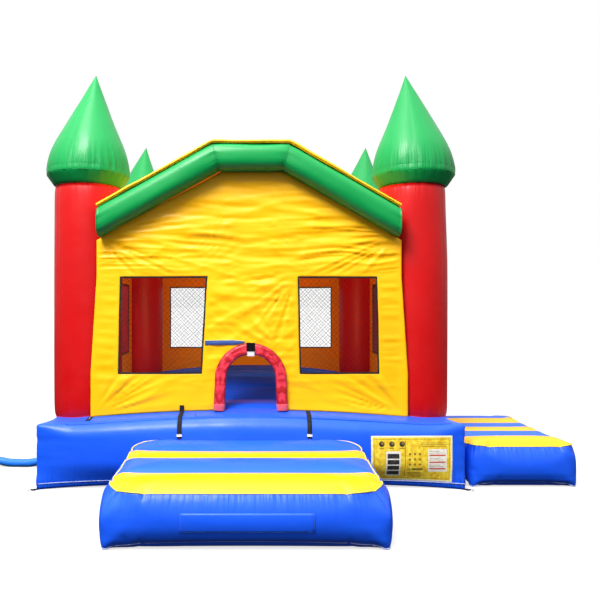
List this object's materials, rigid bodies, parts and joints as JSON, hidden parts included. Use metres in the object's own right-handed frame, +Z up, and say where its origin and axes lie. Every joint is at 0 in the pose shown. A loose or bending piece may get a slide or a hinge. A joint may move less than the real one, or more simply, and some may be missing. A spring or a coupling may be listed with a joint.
{
  "type": "inflatable bounce house",
  "caption": "Square inflatable bounce house with corner columns and cones, netted fabric walls, pitched roof, arched door, two hinged landing pads and an air blower.",
  "frame": {"origin": "on the ground under the middle of the square base", "axes": "+X to the right seen from the door, +Y from the door to the back, +Z up"},
  "size_m": [6.149, 5.4005, 4.02],
  "materials": {
    "blue_vinyl": "satin",
    "tube_vinyl": "matte",
    "baffle_cloth": "matte",
    "welt": "satin",
    "red_vinyl": "satin",
    "red_satin": "satin",
    "green_vinyl": "satin",
    "yellow_vinyl": "satin",
    "black_net": "matte",
    "black_webbing": "matte",
    "white_tag": "matte",
    "printed_panel": "satin",
    "steel": "polished",
    "blower_plastic": "satin",
    "black_plastic": "matte",
    "rocker_plastic": "gloss",
    "motor_metal": "matte",
    "rubber": "matte"
  },
  "bodies": {
    "house": {"base_chamber": "blue_vinyl", "bounce_floor": "blue_vinyl", "air_port": "blue_vinyl", "door_tie_strip": "blue_vinyl", "air_tube": "tube_vinyl", "base_baffles": "baffle_cloth", "base_welt": "welt", "column_front_left": "red_vinyl", "column_front_right": "red_vinyl", "column_rear_left": "red_vinyl", "column_rear_right": "red_vinyl", "door_band": "red_satin", "roof_beam_front": "green_vinyl", "roof_beam_rear": "green_vinyl", "eave_beam_left": "green_vinyl", "eave_beam_right": "green_vinyl", "cone_front_left": "green_vinyl", "cone_front_right": "green_vinyl", "cone_rear_left": "green_vinyl", "cone_rear_right": "green_vinyl", "roof_canopy": "yellow_vinyl", "wall_front": "yellow_vinyl", "wall_rear": "yellow_vinyl", "wall_left": "yellow_vinyl", "wall_right": "yellow_vinyl", "net_front": "black_net", "net_rear": "black_net", "net_left": "black_net", "net_right": "black_net", "binding_front": "black_webbing", "binding_rear": "black_webbing", "binding_left": "black_webbing", "binding_right": "black_webbing", "door_keeper": "black_webbing", "front_pad_straps": "black_webbing", "side_pad_straps": "black_webbing", "corner_strap": "black_webbing", "anchor_loops": "black_webbing", "zip_tape": "black_webbing", "tube_strap": "black_webbing", "door_keeper_tag": "white_tag", "instruction_panel": "printed_panel", "blower_housing": "blower_plastic", "blower_stand": "blower_plastic", "blower_switch_box": "blower_plastic", "blower_grille": "black_plastic", "blower_handle": "black_plastic", "blower_gland": "black_plastic", "blower_motor": "motor_metal", "blower_feet": "rubber"},
    "front_pad": {"front_pad": "blue_vinyl", "front_pad_vent": "blue_vinyl"},
    "side_pad": {"side_pad": "blue_vinyl"},
    "impeller": {"blower_impeller": "black_plastic"},
    "rocker": {"blower_rocker": "rocker_plastic"},
    "zip_slider": {"zip_slider": "steel"},
    "ring_front_left": {"anchor_ring_front_left": "steel"},
    "ring_front_right": {"anchor_ring_front_right": "steel"},
    "ring_rear_left": {"anchor_ring_rear_left": "steel"},
    "ring_rear_right": {"anchor_ring_rear_right": "steel"}
  },
  "joints": [
    {"name": "front_pad_lift", "type": "hinge", "parent": "house", "child": "front_pad", "pos_m": [0, -1.989, 0.473], "axis": [-1, 0, 0], "range_deg": [0, 78]},
    {"name": "side_pad_lift", "type": "hinge", "parent": "house", "child": "side_pad", "pos_m": [1.989, 0, 0.403], "axis": [0, -1, 0], "range_deg": [0, 78]},
    {"name": "impeller_spin", "type": "hinge", "parent": "house", "child": "impeller", "pos_m": [-2.955, -1.18, 0.192], "axis": [0, 1, 0], "continuous": true},
    {"name": "switch_rock", "type": "hinge", "parent": "house", "child": "rocker", "pos_m": [-2.794, -1.18, 0.152], "axis": [1, 0, 0], "range_deg": [0, 18]},
    {"name": "zip_slide", "type": "slide", "parent": "house", "child": "zip_slider", "axis": [1, 0, 0], "range_m": [0, 0.61]},
    {"name": "ring_front_left_swing", "type": "hinge", "parent": "house", "child": "ring_front_left", "pos_m": [-2.00111, -2.00111, 0.0062], "axis": [-0.7071, 0.7071, 0], "range_deg": [0, 110]},
    {"name": "ring_front_right_swing", "type": "hinge", "parent": "house", "child": "ring_front_right", "pos_m": [2.00111, -2.00111, 0.0062], "axis": [-0.7071, -0.7071, 0], "range_deg": [0, 110]},
    {"name": "ring_rear_left_swing", "type": "hinge", "parent": "house", "child": "ring_rear_left", "pos_m": [-2.00111, 2.00111, 0.0062], "axis": [0.7071, 0.7071, 0], "range_deg": [0, 110]},
    {"name": "ring_rear_right_swing", "type": "hinge", "parent": "house", "child": "ring_rear_right", "pos_m": [2.00111, 2.00111, 0.0062], "axis": [0.7071, -0.7071, 0], "range_deg": [0, 110]}
  ]
}
